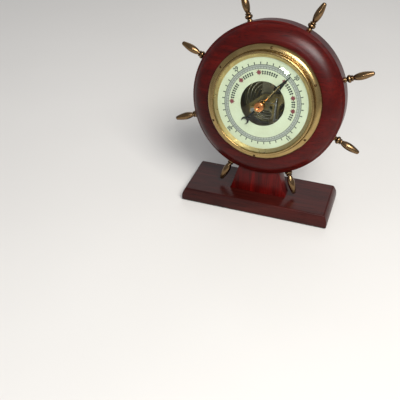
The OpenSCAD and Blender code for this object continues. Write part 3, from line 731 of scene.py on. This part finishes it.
for value, mark in NUMERALS.items():
    curve = bpy.data.curves.new(f"numeral_{value}", "FONT")
    curve.body = str(value)
    curve.size = NUMERAL_SIZE
    curve.align_x, curve.align_y = "CENTER", "CENTER"
    text = bpy.data.objects.new(f"numeral_{value}", curve)
    scene.collection.objects.link(text)
    bpy.context.view_layer.update()
    thin = bpy.data.meshes.new_from_object(text.evaluated_get(bpy.context.evaluated_depsgraph_get()))
    bpy.data.objects.remove(text)
    mesh = bpy.data.meshes.new(f"numeral_{value}")
    bm = bmesh.new()
    for k, (dx, dy) in enumerate(THICKEN):
        copy = thin.copy()
        copy.transform(Matrix.Translation((dx, dy, COPY_LIFT * k)))
        bm.from_mesh(copy)
        bpy.data.meshes.remove(copy)
    bm.to_mesh(mesh)
    bm.free()
    bpy.data.meshes.remove(thin)
    stand = Matrix.Translation(Vector(at(mark, NUMERAL_R, print_f + 0.03)))
    upright = Matrix.Rotation(-math.radians(mark), 4, "Z")
    mesh.transform(wheel @ Matrix.Scale(MM, 4) @ (stand @ upright))
    mesh.materials.clear()
    mesh.materials.append(dark_ink)
    number = bpy.data.objects.new(f"numeral_{value}", mesh)
    scene.collection.objects.link(number)
    add(number, "dial_plate")


def turned_shape(points, angle, r):
    """Points of a small shape, across and up, stood on the dial at a radius."""
    out, side = Vector(at(angle, 1)[:2]), Vector(at(angle + 90, 1)[:2])
    return [tuple(out * (r + v) + side * x) for x, v in points]


def lozenge(w, h, v):
    """A diamond w wide and h high, v above the place it stands on."""
    return [(0, v + h / 2), (w / 2, v), (0, v - h / 2), (-w / 2, v)]


# Six groups of plain ornament where such dials carry their forecast: a red rosette and a row of fleurons
ornaments_red, ornaments_dark = [], []
fleuron = (lozenge(2.0, 2.3, 0.85), lozenge(1.8, 2.1, -0.85),
           [(-0.35, -1.3), (0.35, -1.3), (0.35, 1.3), (-0.35, 1.3)])
for start, count in ORNAMENTS:
    for k in range(8):
        a = math.radians(45 * k)
        size = ROSETTE_TIPS[k % 2]
        petal = (math.cos(a) * size, math.sin(a) * size)
        wing = [(math.cos(a + s) * size * 0.58, math.sin(a + s) * size * 0.58) for s in (-0.42, 0.42)]
        ornaments_red.append(turned_shape([(0, 0), wing[0], petal, wing[1]], start, ROSETTE_R))
    for k in range(count):
        a = start + FLEURON_FROM + FLEURON_STEP * k
        ornaments_dark += [turned_shape(shape, a, FLEURON_R) for shape in fleuron]
printed("ornament_red", ornaments_red, red_ink, 0.01)
printed("ornament_dark", ornaments_dark, dark_ink, 0.01)

# ---- Knob ----

_, k_r, k_low, k_top = span("set_knob")
w_top = span("knob_washer")[3]
KNURLS, KNURL_DEPTH = 36, 0.13
SLOT_HALF_W, SLOT_IN, SLOT_OUT, SLOT_DEPTH = 0.35, 1.38, 1.95, 0.8  # from SLOT_IN to SLOT_OUT of the axis
knob_profile = [(0, k_low), (1.5, k_low), (1.5, w_top), (3.2, w_top), (3.25, w_top + 0.6)]
knob_profile += [(k_r - 0.12, w_top + 0.95), (k_r, w_top + 1.1), (k_r, k_top - 1.4)]
knob_profile += arc(k_r - 0.9, k_top - 1.15, 0.9, 0.95, 5, 90, 10)
knob_profile += [(2.2, k_top - 0.12), (1.75, k_top), (1.5, k_top - 0.05), (1.42, k_top - 0.35),
                 (1.35, k_top - 0.95), (0.7, k_top - 1.0), (0, k_top - 1.0)]


def knurl(a, r, z):
    """Radius of the knob at an angle: its outer wall is fluted, the rest is round."""
    if r < k_r - 0.25 or z < w_top + 0.9:
        return r
    return r - KNURL_DEPTH * (0.5 + 0.5 * math.cos(KNURLS * a))


knob = lathe("knob_turned", knob_profile, copper, 216, wheel, radius=knurl)
# The slot lies along the set hand. The corners of the raised ring are pushed down to cut it.
hand_points = points_of("set_hand")
hand_tip = hand_points[np.hypot(hand_points[:, 0], hand_points[:, 1]).argmax()]
slot_way = Vector(hand_tip[:2]).normalized()
for vertex in knob.data.vertices:
    local = (wheel_inv @ vertex.co) / MM
    along = slot_way.dot(local.xy)
    across = slot_way.cross(local.xy)
    if abs(across) < SLOT_HALF_W and SLOT_IN < abs(along) < SLOT_OUT and local.z > k_top - 0.3:
        vertex.co = wheel @ ((local - Vector((0, 0, SLOT_DEPTH))) * MM)
place(knob, "set_knob")
centre_pin = lathe("knob_pin", [(0, k_top - 1.05), (0.72, k_top - 1.05), (0.72, k_top - 0.55)]
                   + arc(0.42, k_top - 0.55, 0.3, 0.22, 0, 90, 6) + [(0, k_top - 0.3)],
                   nail_brass, 40, wheel)
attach(centre_pin, "setting")

# ---- Capsule ----

FLAT_RIM = 3.5        # width of the rim outside the corrugations
CREST_FALL = 0.15     # a crest is no lower than this below the highest one
ONE_CREST = 1.0       # high points closer together than this are one crest
cp = points_of("capsule_upper")
cr = np.hypot(cp[:, 0], cp[:, 1])
levels = {}
for r, z in zip(np.round(cr, 2), cp[:, 2]):
    lo_z, hi_z = levels.get(float(r), (1e9, -1e9))
    levels[float(r)] = (min(lo_z, float(z)), max(hi_z, float(z)))
rs = np.array(sorted(levels))
upper = np.array([levels[r][1] for r in rs])
lower = np.array([levels[r][0] for r in rs])
corrugated = rs < rs.max() - FLAT_RIM
fine = [0.0] + list(np.linspace(rs[rs > 1].min(), rs.max(), 260))
capsule_profile = [(r, float(np.interp(r, rs, upper))) for r in fine]
capsule_profile += [(r, float(np.interp(r, rs, lower))) for r in fine[::-1]]
peaks = [k for k in range(1, len(rs) - 1) if upper[k] > upper[k - 1] and upper[k] >= upper[k + 1]
         and corrugated[k] and upper[k] > upper.max() - CREST_FALL]
groups = []
for peak in (float(rs[k]) for k in peaks):
    if groups and peak - groups[-1][0] < ONE_CREST:
        groups[-1].append(peak)
    else:
        groups.append([peak])
crests = [sum(group) / len(group) for group in groups]
pitch = (crests[-1] - crests[0]) / (len(crests) - 1)
# The capsule's rings have a painted highlight on the crests and painted shade in the troughs, over real wear and
# tarnish.
ringed = corrugated_metal("steel_capsule_rings", (0.86, 0.83, 0.62), (0.20, 0.18, 0.09),
                          crests[0], pitch)
capsule = lathe("capsule_skin", capsule_profile, ringed, 144, wheel)
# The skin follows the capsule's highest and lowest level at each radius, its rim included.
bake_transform(capsule)
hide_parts("capsule_upper")

# ---- Stage ----

FLOOR_HALF = 6.0
FLOOR_GAP = 0.00005  # the floor lies this far below the part
bm = bmesh.new()
bmesh.ops.create_grid(bm, x_segments=1, y_segments=1, size=FLOOR_HALF)
floor_mesh = bpy.data.meshes.new("floor")
bm.to_mesh(floor_mesh)
bm.free()
floor = bpy.data.objects.new("floor", floor_mesh)
floor.location.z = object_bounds()[0].z - FLOOR_GAP
t = Tree("floor_pale")
t.set(Base_Color=t.mix(t.ramp(t.noise(t.object_coords(), scale=3.0, detail=3), (0.3, 0.0), (0.7, 1.0)),
                       (0.66, 0.645, 0.62), (0.69, 0.675, 0.65)), Roughness=0.6)
floor_mesh.materials.append(t.material)
scene.collection.objects.link(floor)
floor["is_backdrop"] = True


def area_light(name, location, aim, size, power, colour, roll=0):
    """A rectangular lamp that looks at aim, rolled about its own axis by an angle in degrees."""
    data = bpy.data.lights.new(name, "AREA")
    data.shape = "RECTANGLE"
    data.size, data.size_y = size
    data.energy = power
    data.color = colour
    lamp = bpy.data.objects.new(name, data)
    lamp.location = location
    facing = (Vector(aim) - Vector(location)).to_track_quat("-Z", "Y")
    lamp.rotation_euler = (facing @ Quaternion((0, 0, 1), math.radians(roll))).to_euler()
    scene.collection.objects.link(lamp)


lo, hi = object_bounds()
middle = (lo + hi) / 2
area_light("key", middle + Vector((0.52, -0.55, 0.95)), middle, size=(0.6, 0.45), power=13,
           colour=(1.0, 0.97, 0.92))
area_light("front", middle + Vector((0.55, -1.05, 1.05)), middle, size=(0.8, 0.5), power=12,
           colour=(0.97, 0.98, 1.0))
area_light("window", middle + Vector((0.03, -1.09, 0.50)), middle, size=(0.13, 0.045), power=0.9,
           colour=(1.0, 1.0, 1.0), roll=-32)
area_light("back", middle + Vector((-0.2, 0.9, 0.7)), middle, size=(0.9, 0.5), power=1.5,
           colour=(1.0, 0.98, 0.95))
world = bpy.data.worlds.new("studio")
scene.world = world
world.use_nodes = True
sky = world.node_tree.nodes["Background"]
sky.inputs["Color"].default_value = (0.93, 0.95, 1.0, 1)
sky.inputs["Strength"].default_value = 0.34
scene.view_settings.view_transform = "Standard"

# The photo's viewpoint: where the camera stands round the part, and how far it is off the aim
AZIMUTH, ELEVATION = 19.31, 36.38  # degrees
DISTANCE, SHIFT_LEFT, SHIFT_DOWN = 0.60085, 0.06164, 0.0870
LENS, SENSOR = 59.07, 36
AIM_HEIGHT = 0.1
azimuth, elevation = math.radians(AZIMUTH), math.radians(ELEVATION)
back_v = Vector((math.sin(azimuth) * math.cos(elevation), -math.cos(azimuth) * math.cos(elevation),
                 math.sin(elevation)))
right = Vector((math.cos(azimuth), math.sin(azimuth), 0))
up = back_v.cross(right)
aim = Vector((0, centre.y, AIM_HEIGHT))
camera_data = bpy.data.cameras.new("camera")
camera_data.lens, camera_data.sensor_width = LENS, SENSOR
camera = bpy.data.objects.new("camera", camera_data)
camera.matrix_world = Matrix((right, up, back_v)).transposed().to_4x4()
camera.location = aim + back_v * DISTANCE - right * SHIFT_LEFT - up * SHIFT_DOWN
scene.collection.objects.link(camera)
scene.camera = camera
